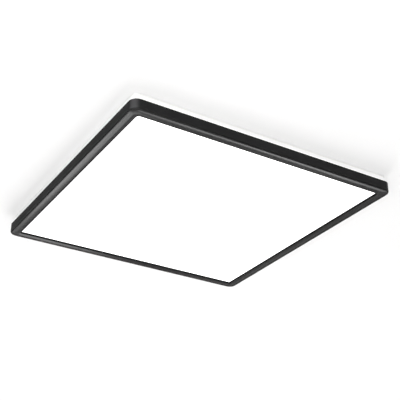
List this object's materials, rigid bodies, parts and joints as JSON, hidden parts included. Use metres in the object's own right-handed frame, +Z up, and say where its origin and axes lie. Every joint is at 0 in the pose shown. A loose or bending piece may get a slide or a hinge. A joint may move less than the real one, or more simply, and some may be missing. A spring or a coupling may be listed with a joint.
{
  "type": "flush mount ceiling light",
  "caption": "Thin square LED ceiling light: black rounded frame, flat opal cover, glowing white rear rim, push-up ceiling plate.",
  "frame": {"origin": "centre of the ceiling plate's upper face, which lies on the ceiling", "axes": "+Z up into the ceiling, the light shines along -Z; +X and +Y along the sides of the square, +Y towards the driver"},
  "size_m": [0.42, 0.42, 0.028],
  "materials": {
    "frame_black": "satin",
    "opal": "satin",
    "tray_white": "satin",
    "guide_clear": "gloss",
    "reflector_white": "matte",
    "foam": "matte",
    "aluminium": "satin",
    "board_white": "satin",
    "led_yellow": "satin",
    "steel_coated": "satin",
    "zinc_steel": "satin",
    "spring_steel": "gloss",
    "rubber_grey": "matte",
    "case_white": "satin",
    "board_green": "satin",
    "ferrite": "matte",
    "film_yellow": "satin",
    "terminal_grey": "satin",
    "copper": "satin",
    "lever_orange": "satin",
    "switch_metal": "satin",
    "knob_black": "satin",
    "lead_brown": "satin",
    "lead_blue": "satin",
    "lead_green": "satin",
    "lead_white": "satin"
  },
  "bodies": {
    "ceiling_mount": {"ceiling_plate": "zinc_steel", "spring_clip_left": "spring_steel", "spring_clip_right": "spring_steel", "clip_rivets": "zinc_steel", "cable_grommet": "rubber_grey"},
    "lamp": {"back_plate": "steel_coated", "catch_bracket_left": "zinc_steel", "catch_bracket_right": "zinc_steel", "catch_rivets": "zinc_steel", "corner_screws": "zinc_steel", "driver_board": "board_green", "driver_capacitors": "aluminium", "driver_case": "case_white", "driver_inductor": "ferrite", "driver_lid": "case_white", "driver_screws": "zinc_steel", "driver_transformer": "ferrite", "earth_lead": "lead_green", "earth_lug": "copper", "earth_nut": "zinc_steel", "earth_screw": "zinc_steel", "earth_washer": "zinc_steel", "edge_leds": "led_yellow", "film_capacitor": "film_yellow", "foam_pad": "foam", "front_frame": "frame_black", "halo_connector": "case_white", "halo_lead": "lead_white", "halo_leds": "led_yellow", "halo_strips": "board_white", "heat_sink": "aluminium", "lead_clips": "case_white", "led_board_back": "board_white", "led_board_front": "board_white", "led_board_left": "board_white", "led_board_right": "board_white", "led_rail_back": "aluminium", "led_rail_front": "aluminium", "led_rail_left": "aluminium", "led_rail_right": "aluminium", "lever_axle": "zinc_steel", "lid_screws": "zinc_steel", "light_guide": "guide_clear", "live_lead": "lead_brown", "main_connector": "case_white", "main_led_lead": "lead_white", "neutral_lead": "lead_blue", "opal_cover": "opal", "rear_tray": "tray_white", "reflector_sheet": "reflector_white", "selector_switch": "switch_metal", "terminal_block": "terminal_grey", "terminal_clamps": "copper", "tray_screws": "zinc_steel"},
    "selector": {"selector_knob": "knob_black"},
    "lever_live": {"terminal_lever_live": "lever_orange"},
    "lever_neutral": {"terminal_lever_neutral": "lever_orange"},
    "lever_earth": {"terminal_lever_earth": "lever_orange"}
  },
  "joints": [
    {"name": "lamp_release", "type": "slide", "parent": "ceiling_mount", "child": "lamp", "axis": [0, 0, -1], "range_m": [0, 0.05], "deforming": ["spring_clip_left", "spring_clip_right"]},
    {"name": "selector_slide", "type": "slide", "parent": "lamp", "child": "selector", "axis": [1, 0, 0], "range_m": [0, 0.006]},
    {"name": "lever_neutral_swing", "type": "hinge", "parent": "lamp", "child": "lever_neutral", "pos_m": [-0.009, -0.087, -0.0108], "axis": [1, 0, 0], "range_deg": [0, 85]},
    {"name": "lever_live_swing", "type": "hinge", "parent": "lamp", "child": "lever_live", "pos_m": [0, -0.087, -0.0108], "axis": [1, 0, 0], "range_deg": [0, 85]},
    {"name": "lever_earth_swing", "type": "hinge", "parent": "lamp", "child": "lever_earth", "pos_m": [0.009, -0.087, -0.0108], "axis": [1, 0, 0], "range_deg": [0, 85]}
  ]
}
